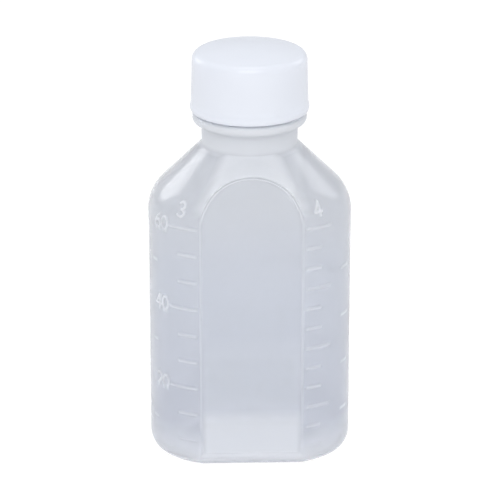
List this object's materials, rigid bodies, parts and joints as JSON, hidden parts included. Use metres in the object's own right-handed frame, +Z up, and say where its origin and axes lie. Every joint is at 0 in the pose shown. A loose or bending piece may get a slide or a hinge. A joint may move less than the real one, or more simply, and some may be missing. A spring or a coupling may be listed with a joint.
{
  "type": "dispensing bottle",
  "caption": "Translucent oval dispensing bottle with an arched label panel, raised volume scales, a threaded neck and a domed screw cap with a sealing disc.",
  "frame": {"origin": "middle of the base, on the plane that the bottle stands on", "axes": "+Z up along the neck's axis, -Y out of the front label panel, +X to the right of the front panel"},
  "size_m": [0.0438, 0.0312, 0.0912],
  "materials": {
    "bottle": "translucent natural polypropylene, satin to glossy, blow moulded",
    "cap": "white polyethylene, smooth satin",
    "liner": "off-white closed-cell foam"
  },
  "bodies": {
    "bottle": {"bottle": "bottle"},
    "liner": {"cap_liner": "liner"},
    "cap": {"screw_cap": "cap"}
  },
  "joints": [
    {"name": "cap_rise", "type": "slide", "parent": "bottle", "child": "liner", "axis": [0, 0, 1], "range_m": [0, 0.0104]},
    {"name": "cap_turn", "type": "hinge", "parent": "liner", "child": "cap", "pos_m": [0, 0, 0.083], "axis": [0, 0, 1], "range_deg": [0, 1170]}
  ],
  "couplings": [
    {"joint": "cap_rise", "follows": "cap_turn", "m_per_rad": 0.00050929}
  ]
}
